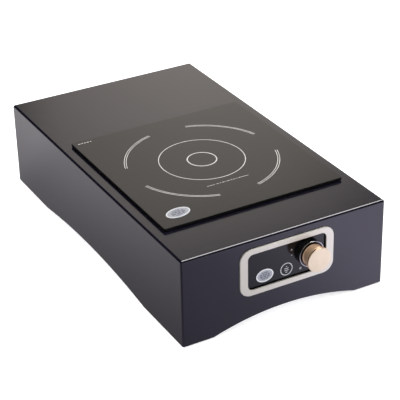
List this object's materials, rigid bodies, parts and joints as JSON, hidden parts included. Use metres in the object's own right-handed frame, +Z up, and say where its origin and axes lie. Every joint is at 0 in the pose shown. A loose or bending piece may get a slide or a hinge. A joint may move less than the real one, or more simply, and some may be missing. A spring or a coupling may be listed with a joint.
{
  "type": "countertop induction hob",
  "caption": "Long low countertop induction hob: black sheet-metal case, raised black glass cooking plate near the front, framed front panel with one turning power knob.",
  "frame": {"origin": "middle of the whole object's footprint (knob included) on the worktop, at the feet's undersides", "axes": "+X to the object's right, +Y from the knob side to the back, +Z up; the knob faces -Y"},
  "size_m": [0.325, 0.5914, 0.141],
  "materials": {
    "case_paint": "satin black powder coat",
    "galvanised_steel": "galvanised",
    "zinc_screw": "zinc plated",
    "rubber_black": "matte",
    "seal_black": "matte",
    "glass_black": "polished",
    "bezel_steel": "fine brushed",
    "panel_black": "gloss",
    "collar_black": "gloss",
    "chrome": "polished",
    "knob_champagne": "fine brushed, champagne anodised",
    "dark_steel": "blackened",
    "bright_steel": "turned",
    "lens_clear": "gloss",
    "switch_blue": "moulded",
    "brass": "plain",
    "board_green": "solder mask",
    "nylon_white": "moulded",
    "coil_copper": "enamelled litz wire",
    "carrier_cream": "moulded, heat resistant",
    "ferrite": "sintered",
    "mica": "sheet",
    "silicone_red": "matte",
    "sleeve_tan": "woven sleeve",
    "sink_aluminium": "extruded",
    "epoxy_black": "moulded",
    "film_yellow": "potted",
    "film_blue": "potted",
    "plastic_black": "moulded",
    "choke_core": "lacquered winding",
    "wire_sleeve": "insulated",
    "ribbon_grey": "insulated"
  },
  "bodies": {
    "case": {"case_shell": "case_paint", "base_plate": "galvanised_steel", "rail_left": "galvanised_steel", "rail_right": "galvanised_steel", "base_screws": "zinc_screw", "foot_front_left": "rubber_black", "foot_front_right": "rubber_black", "foot_back_left": "rubber_black", "foot_back_right": "rubber_black", "foot_screws": "zinc_screw", "glass_seal": "seal_black", "glass_top": "glass_black", "control_bezel": "bezel_steel", "bezel_nuts": "zinc_screw", "panel_plate": "panel_black", "panel_bracket": "galvanised_steel", "knob_collar": "collar_black", "collar_ring": "chrome", "status_lens": "lens_clear", "control_body": "switch_blue", "control_bush": "brass", "control_nut": "zinc_screw", "control_board": "board_green", "board_spacers": "nylon_white", "control_board_screws": "zinc_screw", "coil_winding": "coil_copper", "coil_carrier": "carrier_cream", "ferrite_bars": "ferrite", "mica_sheet": "mica", "temperature_sensor": "silicone_red", "coil_bridge": "sink_aluminium", "coil_springs": "bright_steel", "bridge_screws": "zinc_screw", "coil_leads": "sleeve_tan", "power_board": "board_green", "power_board_posts": "nylon_white", "heat_sink": "sink_aluminium", "power_transistors": "epoxy_black", "resonant_capacitors": "film_yellow", "coil_terminals": "brass", "fan_frame": "plastic_black", "fan_screws": "zinc_screw", "air_duct": "plastic_black", "filter_board": "board_green", "filter_board_posts": "nylon_white", "filter_choke": "choke_core", "filter_capacitors": "film_blue", "inlet_body": "plastic_black", "inlet_pins": "brass", "inlet_screws": "dark_steel", "mains_wires": "wire_sleeve", "control_cable": "ribbon_grey"},
    "knob": {"control_knob": "knob_champagne", "knob_set_screw": "dark_steel", "control_shaft": "bright_steel"},
    "fan": {"fan_rotor": "plastic_black"}
  },
  "joints": [
    {"name": "power_knob", "type": "hinge", "parent": "case", "child": "knob", "pos_m": [0.0376, -0.2703, 0.09], "axis": [0, 1, 0], "range_deg": [0, 300]},
    {"name": "fan_spin", "type": "hinge", "parent": "case", "child": "fan", "pos_m": [0.036, 0.1087, 0.0212], "axis": [0, 0, 1], "continuous": true}
  ]
}
